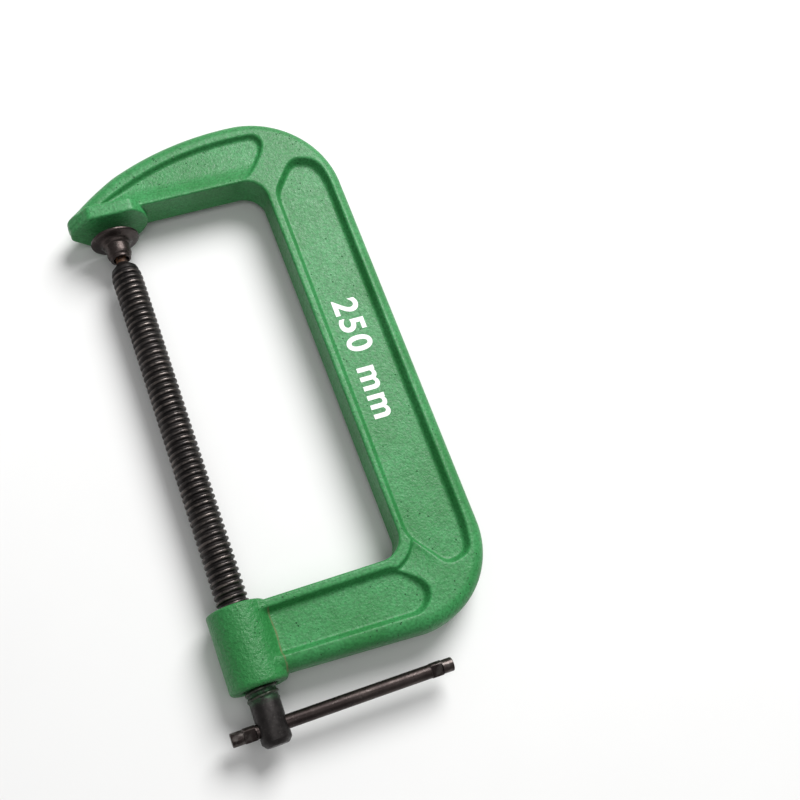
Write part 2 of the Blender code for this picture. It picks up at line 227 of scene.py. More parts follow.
# Size mark on the spine
MARK_TEXT = "250 mm"
MARK_SPACING = 1.16
MARK_WEIGHT = 0.55
MARK_HALF_THICKNESS = 0.03
MARK_SIZE = 23.5
MARK_CENTRE = (128.4, -101.0)
MARK_LIFT = 0.02

# Mesh resolution
CASTING_LOW = (-29.7, -285.3, -20.25)
CASTING_HIGH = (162.9, 91.8, 20.25)
GRID = 0.75
SMOOTHING_SHARE = 0.6
SMOOTHING_PASSES = 5
NUDGE = 0.02
CORNER_STEPS = 4
PITCH_POINTS = 12

# Colours
ENAMEL = (0.030, 0.218, 0.056, 1)
ENAMEL_LIGHT = (0.045, 0.275, 0.084, 1)
ENAMEL_BLOTCH = (0.024, 0.178, 0.044, 1)
ENAMEL_GRAIN = (0.013, 0.125, 0.030, 1)
ENAMEL_PIT = (0.006, 0.035, 0.012, 1)
ENAMEL_WORN_AND_HIGHLIT = (0.09, 0.33, 0.15, 1)
ENAMEL_CREASE_SHADE = (0.007, 0.080, 0.015, 1)
ENAMEL_THICK_AND_SHADED = (0.018, 0.165, 0.036, 1)
RUBBED_PAINT = (0.20, 0.135, 0.075, 1)
SCREW_DARK = (0.021, 0.019, 0.019, 1)
SCREW_LIGHT = (0.041, 0.037, 0.036, 1)
SCREW_CREST_WEAR_AND_HIGHLIGHT = (0.180, 0.152, 0.138, 1)
SCREW_ROOT_DARK = (0.010, 0.008, 0.007, 1)
NECK_RUST = (0.13, 0.055, 0.022, 1)
OVERSPRAY = (0.022, 0.10, 0.035, 1)
STEEL_SPECK = (0.11, 0.10, 0.095, 1)
BAR_DARK = (0.030, 0.022, 0.021, 1)
BAR_LIGHT = (0.056, 0.044, 0.041, 1)
BAR_SCUFF = (0.16, 0.145, 0.135, 1)
BAR_TIP = (0.17, 0.155, 0.145, 1)
PRINT = (0.78, 0.80, 0.78, 1)
PRINT_LIGHT = (0.86, 0.87, 0.85, 1)
PRINT_WORN = (0.10, 0.32, 0.15, 1)
FLOOR = (0.79, 0.79, 0.785, 1)
FLOOR_LIGHT = (0.81, 0.81, 0.805, 1)

# Surroundings, in metres and watts
KEY_PLACE = (1.1, 1.25, 1.85)
KEY_POWER = 80
FILL_PLACE = (-0.3, -0.6, 2.0)
FILL_POWER = 7
LIGHT_SIZE = 1.6
WORLD_STRENGTH = 0.29
FLOOR_HALF = 6.0
FLOOR_GAP = 0.0002

# Camera, in the clamp's coordinates
CAMERA_PLACE = (-63.3, -356.7, 665.8)
CAMERA_RIGHT = (0.93176, -0.33624, 0.13703)
CAMERA_DOWN = (-0.27378, -0.89851, -0.34311)
CAMERA_LENS = 50.68
CAMERA_SHIFT = (0.05, 0.055)


# Shapes given by a distance that is negative inside


def smooth_max(a, b, width):
    """The larger of two distances, with the edge between them rounded over a width."""
    blend = np.maximum(width - np.abs(a - b), 0) / width
    return np.maximum(a, b) + blend * blend * width / 4


def smooth_min(a, b, width):
    return -smooth_max(-a, -b, width)


def round_max(a, b, radius):
    """The larger of two distances at right angles, with a round edge of that radius."""
    a, b = a + radius, b + radius
    outside = np.sqrt(np.maximum(a, 0) ** 2 + np.maximum(b, 0) ** 2)
    return outside + np.minimum(np.maximum(a, b), 0) - radius


def convex(x, y, corners, width):
    """Distance to a convex polygon with rounded corners, listed counterclockwise."""
    result = None
    for (x0, y0), (x1, y1) in zip(corners, corners[1:] + corners[:1]):
        length = math.hypot(x1 - x0, y1 - y0)
        side = ((x - x0) * (y1 - y0) - (y - y0) * (x1 - x0)) / length
        result = side if result is None else smooth_max(result, side, width)
    return result


def panel_distances(x, y):
    """Distances to the rim edges of the sunk panels, negative inside them.

    The first is for the spine's and the lower arm's panels, the second for the upper arm's.
    """
    spine = convex(x, y, SPINE_PANEL, PANEL_SOFTNESS)
    lower = convex(x, y, LOWER_PANEL, PANEL_SOFTNESS)
    upper = convex(x, y, UPPER_PANEL, UPPER_PANEL_SOFTNESS)
    arch = np.hypot(x - CROWN[0], y - CROWN[1] + ARM_CURVE_R) - (ARM_CURVE_R - ARM_RIM_WIDTH)
    return np.minimum(spine, lower), smooth_max(upper, arch, ARCH_SOFTNESS)


def sink(body, z, outline, web_z):
    """Sinks a panel with sloping walls into the body, down to half the web's thickness."""
    wall = (outline + PANEL_SLOPE * (RIM_Z - z)) / math.hypot(1, PANEL_SLOPE)
    return smooth_max(body, -smooth_max(wall, web_z - z, PANEL_FILLET), PANEL_RIM_SOFTNESS)


def casting_distance(x, y, z):
    """Distance to the whole casting's surface, in millimetres."""
    z = np.abs(z)

    # outline
    arch = np.hypot(x - CROWN[0], y - CROWN[1] + ARM_CURVE_R) - ARM_CURVE_R
    arch = arch + np.clip(NOSE_DROOP * (NOSE_DROOP_X - x), 0, NOSE_DROOP_MAX)
    spine_outer = CROWN[0] + SHOULDER_R
    spine_outer = spine_outer + SPINE_OUTER_LEAN * np.maximum(CROWN[1] - SHOULDER_R - y, 0)
    shoulder = round_max(x - spine_outer, y - CROWN[1], SHOULDER_R)
    heel = round_max(x - HEEL[0] - HEEL_R, HEEL[1] - y, HEEL_R)
    lower_edge = HEEL[1] + LOWER_EDGE_SLOPE * np.maximum(HEEL[0] - x, 0) - y
    outer = np.maximum(np.maximum(arch, shoulder), np.maximum(heel, lower_edge))
    spine_face = x - SPINE_INNER_X + SPINE_LEAN * y
    upper_face = y - UPPER_ARM_Y - UPPER_ARM_RISE * x
    throat = round_max(spine_face, np.maximum(upper_face, LOWER_ARM_Y - y), THROAT_FILLET)

    # rims, with a round bead outside and a small edge inside
    body = round_max(outer, z - RIM_Z, BEAD_R)
    body = np.maximum(body, round_max(-throat, z - RIM_Z, INNER_EDGE_R))

    # the heel lies a little lower than the rim round the throat
    step = np.clip((throat - STEP_INSET) / STEP_WIDTH, 0, 1)
    step = step * np.clip(1 - (throat - STEP_INSET) / STEP_FADE, 0, 1)
    from_corner = np.hypot(x - STEP_CENTRE[0], y - STEP_CENTRE[1]) / STEP_REACH
    step = step * np.clip(STEP_FALLOFF - STEP_FALLOFF * from_corner, 0, 1)
    body = np.maximum(body, z - RIM_Z + STEP_DEPTH * step)

    # sunk panels; the upper arm's web rises to its inner edge
    main_panels, upper_panel = panel_distances(x, y)
    body = sink(body, z, main_panels, WEB_Z)
    low, high = UPPER_WEB_RAMP
    ramp = np.clip((high - y) / (high - low), 0, 1)
    ramp = (RIM_Z - UPPER_WEB_Z) * ramp * ramp * (2 - ramp)
    body = sink(body, z, upper_panel, UPPER_WEB_Z + ramp)

    # the lower arm ends inside the boss, and the upper arm's nose is cut to the anvil's end
    end = convex(x, z, NOSE_CUT, FACET_SOFTNESS)
    cut_arm = smooth_max(body, end, NOSE_SOFTNESS)
    body = np.where(y > MIDDLE_Y, cut_arm, np.maximum(body, -x))

    # anvil
    sides = convex(x, z, ANVIL_FLATS, FACET_SOFTNESS)
    octagon = smooth_max(sides, end, FACET_SOFTNESS)
    roof = (y - ANVIL_SIDE_Y + ANVIL_ROOF_SLOPE * octagon) / math.hypot(1, ANVIL_ROOF_SLOPE)
    anvil = smooth_max(octagon, roof, ANVIL_TOP_SOFTNESS)
    anvil = smooth_max(anvil, ANVIL_Y - y, ANVIL_FACE_SOFTNESS)
    anvil = smooth_max(anvil, round_max(arch, z - RIM_Z - ANVIL_RISE, BEAD_R), NOSE_SOFTNESS)
    body = smooth_min(body, anvil, ANVIL_FILLET)

    # boss
    radius = np.hypot(x, z)
    boss = round_max(radius - BOSS_R, BOSS_BOTTOM_Y - y, BOSS_BOTTOM_EDGE_R)
    boss = np.maximum(boss, round_max(radius - BOSS_R, y - BOSS_TOP_Y, BOSS_TOP_EDGE_R))
    body = smooth_min(body, boss, BOSS_FILLET)
    past_end = np.maximum(y - BOSS_TOP_Y, BOSS_BOTTOM_Y - y)
    mouth = np.maximum(past_end + MOUTH_CHAMFER, 0)
    bore = np.maximum(radius - BORE_R - mouth, past_end - BORE_OVERRUN)
    return smooth_max(body, -bore, BORE_SOFTNESS)


def skin(distance, low, high, step, passes):
    """A quad mesh on the surface where a distance is zero.

    Each grid cell that the surface crosses gets one point. The points are then evened out
    and put back on the surface in turns. Returns the points and the quads.
    """
    axes = [np.arange(a, b + step, step) for a, b in zip(low, high)]
    values = distance(*np.meshgrid(*axes, indexing="ij", sparse=True))
    inside = values < 0
    count = np.zeros([n - 1 for n in inside.shape], dtype=np.int8)
    for dx in (0, 1):
        for dy in (0, 1):
            for dz in (0, 1):
                nx, ny, nz = count.shape
                count += inside[dx : nx + dx, dy : ny + dy, dz : nz + dz]
    crossed = (count > 0) & (count < 8)
    index = np.full(count.shape, -1, dtype=np.int64)
    index[crossed] = np.arange(crossed.sum())
    points = (np.argwhere(crossed) + 0.5) * step + np.array(low)

    quads = []
    for axis in range(3):
        u, v = (axis + 1) % 3, (axis + 2) % 3
        first = np.take(inside, range(inside.shape[axis] - 1), axis)
        second = np.take(inside, range(1, inside.shape[axis]), axis)
        edges = np.argwhere(first != second)
        outward = first[tuple(edges.T)]
        corners = []
        for du, dv in ((-1, -1), (0, -1), (0, 0), (-1, 0)):
            cell = edges.copy()
            cell[:, u] += du
            cell[:, v] += dv
            corners.append(index[tuple(cell.T)])
        quad = np.stack(corners, axis=1)
        quad[~outward] = quad[~outward][:, ::-1]
        quads.append(quad)
    quads = np.concatenate(quads)

    pairs = np.concatenate([quads[:, [i, (i + 1) % 4]] for i in range(4)])
    degree = np.bincount(pairs[:, 0], minlength=len(points))[:, None]
    for turn in range(passes + 1):
        if turn:
            total = np.zeros_like(points)
            for k in range(3):
                total[:, k] = np.bincount(pairs[:, 0], points[pairs[:, 1], k], len(points))
            points = points + SMOOTHING_SHARE * (total / degree - points)
        for _ in range(2):
            points = points - step_to_surface(distance, points)
    return points, quads


def step_to_surface(distance, points):
    """How far each point is from the surface, as a vector to take away from it."""
    here = distance(*points.T)
    slope = np.empty_like(points)
    for k in range(3):
        shift = np.zeros(3)
        shift[k] = NUDGE
        ahead, behind = distance(*(points + shift).T), distance(*(points - shift).T)
        slope[:, k] = (ahead - behind) / (2 * NUDGE)
    length = np.maximum((slope**2).sum(axis=1), 0.25)
    return slope * (np.clip(here, -1.0, 1.0) / length)[:, None]


# Meshes


def make_piece(name, mesh, body, material, node=None):
    """Puts a mesh drawn in millimetres at the clamp's origin, riding on a body."""
    mesh.transform(Matrix.Scale(MM, 4))
    mesh.materials.clear()
    mesh.materials.append(material)
    piece = bpy.data.objects.new(name, mesh)
    piece.location = ORIGIN
    bpy.context.scene.collection.objects.link(piece)
    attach(piece, body)
    if node:
        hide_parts(node)
    return piece


def mesh_from(points, faces, sharp=180.0):
    mesh = bpy.data.meshes.new("mesh")
    mesh.from_pydata(points, [], faces)
    mesh.validate()
    mesh.shade_smooth()
    if sharp < 180:
        mesh.set_sharp_from_angle(angle=math.radians(sharp))
    return mesh


def tube_faces(rings, steps):
    """Quads between rings of points that are stored one after another."""
    faces = []
    for r in range(rings - 1):
        for s in range(steps):
            a = r * steps + s
            b = r * steps + (s + 1) % steps
            faces.append((a, b, b + steps, a + steps))
    return faces


def turned(profile, steps):
    """A body turned about Y from (radius, y) points; its two end rings are closed flat."""
    points = []
    for radius, y in profile:
        for s in range(steps):
            angle = 2 * math.pi * s / steps
            points.append((radius * math.cos(angle), y, -radius * math.sin(angle)))
    faces = tube_faces(len(profile), steps)
    last = (len(profile) - 1) * steps
    faces.append(tuple(range(steps))[::-1])
    faces.append(tuple(range(last, last + steps)))
    return points, faces


def soften(profile, radius):
    """Rounds the corners of an open (radius, y) profile."""
    result = [profile[0]]
    for before, here, after in zip(profile, profile[1:], profile[2:]):
        a, b, c = Vector(before), Vector(here), Vector(after)
        cut = min(radius, (a - b).length * 0.45, (c - b).length * 0.45)
        start = b + (a - b).normalized() * cut
        end = b + (c - b).normalized() * cut
        for k in range(CORNER_STEPS + 1):
            t = k / CORNER_STEPS
            result.append(tuple(start * (1 - t) ** 2 + b * 2 * t * (1 - t) + end * t * t))
    return result + [profile[-1]]


def arc(centre, radius, start, end, count):
    """Points on a circle, from one angle to another in degrees."""
    points = []
    for i in range(count + 1):
        angle = math.radians(start + (end - start) * i / count)
        points.append((centre[0] + radius * math.cos(angle), centre[1] + radius * math.sin(angle)))
    return points


def thread_points(crest_r, root_r, crest_half, flank):
    """One pitch of a rolled thread with rounded crests, as (offset, radius)."""
    points = []
    for k in range(PITCH_POINTS):
        offset = PITCH * (k / PITCH_POINTS - 0.5)
        rise = min(max((abs(offset) - crest_half) / flank, 0), 1)
        fall = 0.5 - 0.5 * math.cos(math.pi * rise)
        depth = FLANK_STRAIGHTNESS * rise + (1 - FLANK_STRAIGHTNESS) * fall
        points.append((offset, crest_r + (root_r - crest_r) * depth))
    return points


def thread_body(profile, first_y, last_y, limit, below, above):
    """A right-hand thread about Y, joined at both ends to plain rings (radius, y).

    first_y and last_y are the middles of the end crests. limit(y, radius) gives the radius
    that a point really has. Each list of rings runs away from the thread, and its last ring
    is closed flat.
    """
    n = THREAD_STEPS
    last = round((last_y - first_y) / PITCH) * n
    m = len(profile)
    points = []

    def place(radius, y, step):
        angle = 2 * math.pi * step / n
        points.append((radius * math.cos(angle), y, -radius * math.sin(angle)))
        return len(points) - 1

    rows = []
    for i in range(last + n + 1):
        part = profile if i <= last else profile[:1]
        crest_y = first_y + PITCH * i / n
        rows.append([place(limit(crest_y + dy, r), crest_y + dy, i) for dy, r in part])
    faces = []
    for i in range(last):
        here = rows[i] + rows[i + n][:1]
        ahead = rows[i + 1] + rows[i + 1 + n][:1]
        for j in range(m):
            faces.append((here[j], here[j + 1], ahead[j + 1], ahead[j]))
    for start, rings, up in ((0, below, False), (last, above, True)):
        edge = [rows[start + k][0] for k in range(n + 1)]
        ring = [place(*rings[0], k) for k in range(n)]
        new = [(edge[k], edge[k + 1], ring[(k + 1) % n], ring[k]) for k in range(n)]
        new.append(tuple([ring[0]] + rows[start] + [edge[n]]))
        for radius, y in rings[1:]:
            ahead = [place(radius, y, k) for k in range(n)]
            new += [(ring[k], ring[(k + 1) % n], ahead[(k + 1) % n], ahead[k]) for k in range(n)]
            ring = ahead
        new.append(tuple(ring))
        faces += new
    return points, faces


def tidy_normals(mesh):
    bm = bmesh.new()
    bm.from_mesh(mesh)
    bmesh.ops.recalc_face_normals(bm, faces=bm.faces)
    bm.to_mesh(mesh)
    bm.free()


def cut(mesh, points, faces):
    """Takes a closed shape out of a mesh."""
    body = bpy.data.objects.new("body", mesh)
    tool_mesh = mesh_from(points, faces)
    tidy_normals(tool_mesh)
    tool = bpy.data.objects.new("tool", tool_mesh)
    for obj in (body, tool):
        bpy.context.scene.collection.objects.link(obj)
    modifier = body.modifiers.new("cut", "BOOLEAN")
    modifier.operation = "DIFFERENCE"
    modifier.solver = "EXACT"
    modifier.object = tool
    graph = bpy.context.evaluated_depsgraph_get()
    result = bpy.data.meshes.new_from_object(body.evaluated_get(graph))
    for obj in (body, tool):
        bpy.data.objects.remove(obj)
    return result


# Pieces


def casting_mesh():
    """The whole casting, without the thread in its boss."""
    points, quads = skin(casting_distance, CASTING_LOW, CASTING_HIGH, GRID, SMOOTHING_PASSES)
    return mesh_from(points.tolist(), quads.tolist())


def bore_thread_mesh():
    """The boss's internal thread, as a sleeve whose outside is buried in the casting."""
    profile = thread_points(BORE_THREAD_ROOT_R, BORE_THREAD_CREST_R, BORE_ROOT_HALF, BORE_FLANK)
    outer_r = BORE_R + SLEEVE_COVER
    first_y, last_y = BORE_THREAD_Y
    top = last_y + SLEEVE_LIP
    seam = (outer_r, (first_y + last_y) / 2)
    below = [(SLEEVE_END_R, COUNTERBORE_Y), (outer_r, COUNTERBORE_Y), seam]
    above = [(SLEEVE_END_R, top), (outer_r, top), seam]
    points, faces = thread_body(profile, first_y, last_y, lambda y, r: r, below, above)
    faces = [f for f in faces if len(f) < THREAD_STEPS]
    mesh = mesh_from(points, faces, 50)
    bm = bmesh.new()
    bm.from_mesh(mesh)
    bmesh.ops.remove_doubles(bm, verts=bm.verts, dist=1e-5)
    bmesh.ops.recalc_face_normals(bm, faces=bm.faces)
    bm.to_mesh(mesh)
    bm.free()
    return mesh


def screw_limit(y, radius):
    """The thread's radius once its nose is turned down and its end runs out on the head."""
    if y > NOSE_CURVE[0][0]:
        for (y0, r0), (y1, r1) in zip(NOSE_CURVE, NOSE_CURVE[1:]):
            if y <= y1:
                return min(radius, r0 + (r1 - r0) * (y - y0) / (y1 - y0))
    top = RUNOUT_TOP_Y - RUNOUT_CREST_DELAY * (radius - ROOT_R) / (CREST_R - ROOT_R)
    fade = min(max((top - y) / (top - RUNOUT_END_Y), 0), 1)
    return radius + (HEAD_R - radius) * fade


def screw_mesh():
    neck_angle = math.degrees(math.acos(NECK_R / BALL_R))
    above = list(NECK_CURVE)
    above += arc((0, BALL_Y), BALL_R, -neck_angle, 84, 14)
    below = [(HEAD_R, RUNOUT_END_Y)]
    below += HEAD_END_CURVE
    profile = thread_points(CREST_R, ROOT_R, CREST_HALF, FLANK)
    first_y, last_y = THREAD_FIRST_Y, THREAD_LAST_Y
    points, faces = thread_body(profile, first_y, last_y, screw_limit, below, above)
    mesh = mesh_from(points, faces)
    tidy_normals(mesh)

    flare = [(radius, -y) for radius, y in CROSS_HOLE_FLARE]
    flare += CROSS_HOLE_FLARE[::-1]
    hole, hole_faces = turned(flare, 64)
    hole = [(y, CROSS_HOLE_Y + x, z) for x, y, z in hole]
    mesh = cut(mesh, hole, hole_faces)
    mesh.shade_smooth()
    mesh.set_sharp_from_angle(angle=math.radians(40))
    return mesh


def pad_mesh():
    mouth = math.degrees(math.acos(CAVITY_MOUTH_R / CAVITY_R))
    profile = soften(PAD_CURVE, PAD_EDGE_R) + arc((0, BALL_Y), CAVITY_R, -mouth, 86, 12)
    points, faces = turned(profile, 96)
    mesh = mesh_from(points, faces, 38)
    tidy_normals(mesh)
    return mesh


def handle_mesh():
    """A round bar with softened ends and a stake near each end.

    A stake is a flat-bottomed punch mark on each side, which spreads the bar between them.
    """
    steps = 96
    turn = math.radians(STAKE_TURN)
    edge = BAR_EDGE_R
    stations = []
    for x, radius in arc((BAR_LEFT_X + edge, BAR_R - edge), edge, 180, 90, 6):
        stations.append((x, radius, 0))
    for middle in STAKE_XS:
        for k in range(-STAKE_STATIONS, STAKE_STATIONS + 1):
            offset = (STAKE_HALF + STAKE_MARGIN) * k / STAKE_STATIONS
            rise = min(max((STAKE_HALF - abs(offset)) / STAKE_RAMP, 0), 1)
            stations.append((middle + offset, BAR_R, rise * rise * (3 - 2 * rise)))
    for x, radius in arc((BAR_RIGHT_X - edge, BAR_R - edge), edge, 90, 0, 6):
        stations.append((x, radius, 0))
    points = []
    for x, radius, press in stations:
        flat = radius - STAKE_DEPTH * press
        for s in range(steps):
            angle = 2 * math.pi * s / steps
            along = radius * (1 + STAKE_SPREAD * press) * math.cos(angle)
            up = min(max(radius * math.sin(angle), -flat), flat)
            y = along * math.cos(turn) - up * math.sin(turn)
            z = along * math.sin(turn) + up * math.cos(turn)
            points.append((x, CROSS_HOLE_Y + y, z))
    faces = tube_faces(len(stations), steps)
    last = (len(stations) - 1) * steps
    faces.append(tuple(range(steps)))
    faces.append(tuple(range(last, last + steps)))
    mesh = mesh_from(points, faces, 50)
    tidy_normals(mesh)
    return mesh


def mark_mesh():
    """A plain white size mark on the spine's web, as a thin printed layer."""
    curve = bpy.data.curves.new("mark", "FONT")
    curve.body = MARK_TEXT
    curve.size = MARK_SIZE
    curve.space_character = MARK_SPACING
    curve.offset = MARK_WEIGHT
    curve.align_x = "CENTER"
    curve.align_y = "CENTER"
    curve.extrude = MARK_HALF_THICKNESS
    curve.resolution_u = 8
    obj = bpy.data.objects.new("mark", curve)
    bpy.context.scene.collection.objects.link(obj)
    graph = bpy.context.evaluated_depsgraph_get()
    mesh = bpy.data.meshes.new_from_object(obj.evaluated_get(graph))
    bpy.data.objects.remove(obj)
    turn = Matrix.Rotation(math.radians(-90), 4, "Z")
    mesh.transform(Matrix.Translation((*MARK_CENTRE, WEB_Z + MARK_LIFT)) @ turn)
    return mesh


# Materials


class Nodes:
    """Short names for building a node material."""

    def __init__(self, name):
        self.material = bpy.data.materials.new(name)
        self.material.use_nodes = True
        self.tree = self.material.node_tree
        self.shader = self.tree.nodes["Principled BSDF"]
        coordinates = self.tree.nodes.new("ShaderNodeTexCoord")
        self.place = coordinates.outputs["Object"]

    def put(self, value, socket):
        if isinstance(value, bpy.types.NodeSocket):
            self.tree.links.new(value, socket)
        else:
            socket.default_value = value

    def noise(self, scale, detail=4.0, roughness=0.55, stretch=None, distortion=0.0):
        node = self.tree.nodes.new("ShaderNodeTexNoise")
        source = self.place
        if stretch:
            mapping = self.tree.nodes.new("ShaderNodeMapping")
            mapping.inputs["Scale"].default_value = stretch
            self.tree.links.new(self.place, mapping.inputs["Vector"])
            source = mapping.outputs["Vector"]
        self.tree.links.new(source, node.inputs["Vector"])
        node.inputs["Scale"].default_value = scale
        node.inputs["Detail"].default_value = detail
        node.inputs["Roughness"].default_value = roughness
        node.inputs["Distortion"].default_value = distortion
        return node.outputs["Fac"]

    def cells(self, scale):
        node = self.tree.nodes.new("ShaderNodeTexVoronoi")
        self.tree.links.new(self.place, node.inputs["Vector"])
        node.inputs["Scale"].default_value = scale
        return node.outputs["Distance"]

    def math(self, operation, a, b=0.0):
        node = self.tree.nodes.new("ShaderNodeMath")
        node.operation = operation
        self.put(a, node.inputs[0])
        self.put(b, node.inputs[1])
        return node.outputs[0]

    def span(self, value, low, high, out_low=0.0, out_high=1.0):
        node = self.tree.nodes.new("ShaderNodeMapRange")
        node.interpolation_type = "SMOOTHSTEP"
        self.put(value, node.inputs["Value"])
        node.inputs["From Min"].default_value = low
        node.inputs["From Max"].default_value = high
        node.inputs["To Min"].default_value = out_low
        node.inputs["To Max"].default_value = out_high
        return node.outputs["Result"]

    def mix(self, amount, a, b):
        node = self.tree.nodes.new("ShaderNodeMix")
        node.data_type = "RGBA"
        self.put(amount, node.inputs["Factor"])
        self.put(a, node.inputs[6])
        self.put(b, node.inputs[7])
        return node.outputs[2]

    def axes(self):
        node = self.tree.nodes.new("ShaderNodeSeparateXYZ")
        self.tree.links.new(self.place, node.inputs[0])
        return node.outputs[0], node.outputs[1], node.outputs[2]

    def near(self, point, radius, soft):
        """1 within a radius in millimetres of a point, fading to 0 over a soft width."""
        node = self.tree.nodes.new("ShaderNodeVectorMath")
        node.operation = "DISTANCE"
        self.tree.links.new(self.place, node.inputs[0])
        node.inputs[1].default_value = [v * MM for v in point]
        return self.span(node.outputs["Value"], radius * MM, (radius + soft) * MM, 1.0, 0.0)

    def bump(self, height, distance, strength=1.0, under=None):
        node = self.tree.nodes.new("ShaderNodeBump")
        node.inputs["Strength"].default_value = strength
        node.inputs["Distance"].default_value = distance * MM
        self.put(height, node.inputs["Height"])
        if under:
            self.tree.links.new(under, node.inputs["Normal"])
        return node.outputs["Normal"]

    def finish(self, **sockets):
        for name, value in sockets.items():
            self.put(value, self.shader.inputs[name.replace("_", " ")])
        return self.material


def paint_material():
    """Green enamel over a sand casting: uneven colour, orange peel, pits, rubbed edges that are
    also a painted highlight, and painted shade in the creases and on the boss.
    """
    n = Nodes("green_enamel")
    x, y, z = n.axes()
    height_z = n.math("ABSOLUTE", z)
    broad = n.noise(22, 3)
    blotch = n.noise(140, 4, 0.6)
    green = n.mix(n.span(broad, 0.35, 0.65), ENAMEL, ENAMEL_LIGHT)
    green = n.mix(n.span(blotch, 0.45, 0.75, 0, 0.45), green, ENAMEL_BLOTCH)
    grain = n.noise(620, 3, 0.6)
    green = n.mix(n.span(grain, 0.35, 0.62, 0.6, 0), green, ENAMEL_GRAIN)

    pits = n.span(n.cells(250), 0.07, 0.15, 1, 0)
    pits = n.math("MULTIPLY", pits, n.span(n.noise(48, 3), 0.47, 0.56))
    green = n.mix(n.math("MULTIPLY", pits, 0.8), green, ENAMEL_PIT)

    geometry = n.tree.nodes.new("ShaderNodeNewGeometry")
    # convex edges are lighter: partly rubbed paint, partly a painted highlight along the edges
    edge = n.span(geometry.outputs["Pointiness"], 0.54, 0.66)
    worn = n.math("MULTIPLY", edge, n.span(n.noise(240, 5, 0.7), 0.5, 0.66))
    green = n.mix(n.math("MULTIPLY", worn, 0.3), green, ENAMEL_WORN_AND_HIGHLIT)
    # painted shade: concave creases are darkened
    crease_shade = n.span(geometry.outputs["Pointiness"], 0.40, 0.485, 1, 0)
    green = n.mix(n.math("MULTIPLY", crease_shade, 0.5), green, ENAMEL_CREASE_SHADE)

    # paint rubbed through to rust along the boss, and chips on the nose
    wander = n.span(n.noise(40, 2), 0.3, 0.7, 17.2 * MM, 18.4 * MM)
    beside = n.span(n.math("ABSOLUTE", n.math("SUBTRACT", x, wander)), 0.25 * MM, 0.8 * MM, 1, 0)
    past_low = n.span(y, -279 * MM, -277 * MM)
    along = n.math("MULTIPLY", past_low, n.span(y, -239 * MM, -237 * MM, 1, 0))
    rub = n.math("MULTIPLY", n.math("MULTIPLY", beside, along), n.span(height_z, 5 * MM, 7 * MM))
    rub = n.math("MULTIPLY", rub, n.span(n.noise(330, 5, 0.7), 0.32, 0.52))
    for spot in ((-23.5, 48.5, 7.0), (-14.0, 46.5, 15.0)):
        chip = n.math("MULTIPLY", n.near(spot, 1.2, 3.0), n.span(n.noise(520, 4, 0.7), 0.5, 0.6))
        rub = n.math("MAXIMUM", rub, chip)
    green = n.mix(n.math("MULTIPLY", rub, 0.6), green, RUBBED_PAINT)

    # the boss is a deeper green: the paint lies thicker there, and the darker colour is also
    # painted shade for the boss's shaded sides
    boss = n.math("MULTIPLY", n.span(x, 21 * MM, 15 * MM), n.span(y, -224 * MM, -232 * MM))
    green = n.mix(n.math("MULTIPLY", boss, 0.45), green, ENAMEL_THICK_AND_SHADED)

    # the mould's parting line shows as a faint ridge on the sides
    seam = n.span(height_z, 0.25 * MM, 0.8 * MM, 1, 0)
    height = n.math("ADD", n.noise(680, 3, 0.55), n.math("MULTIPLY", n.noise(190, 2), 0.8))
    height = n.math("ADD", height, n.math("MULTIPLY", seam, 0.5))
    lumps = n.math("MULTIPLY", n.noise(330, 3, 0.65), n.math("MULTIPLY", boss, 3.8))
    normal = n.bump(n.math("ADD", height, lumps), 0.30, 0.85)
    normal = n.bump(n.math("MULTIPLY", pits, -1.0), 0.4, 0.9, normal)
    roughness = n.span(n.noise(500, 3), 0.3, 0.7, 0.36, 0.5)
    return n.finish(
        Base_Color=green,
        Roughness=n.math("ADD", roughness, n.math("MULTIPLY", rub, 0.3)),
        Specular_IOR_Level=0.37,
        Normal=normal,
    )


def steel_base(n, dark, light):
    colour = n.mix(n.span(n.noise(60, 4), 0.35, 0.7), dark, light)
    return n.mix(n.span(n.noise(700, 4, 0.7), 0.55, 0.75, 0, 0.5), colour, STEEL_SPECK)


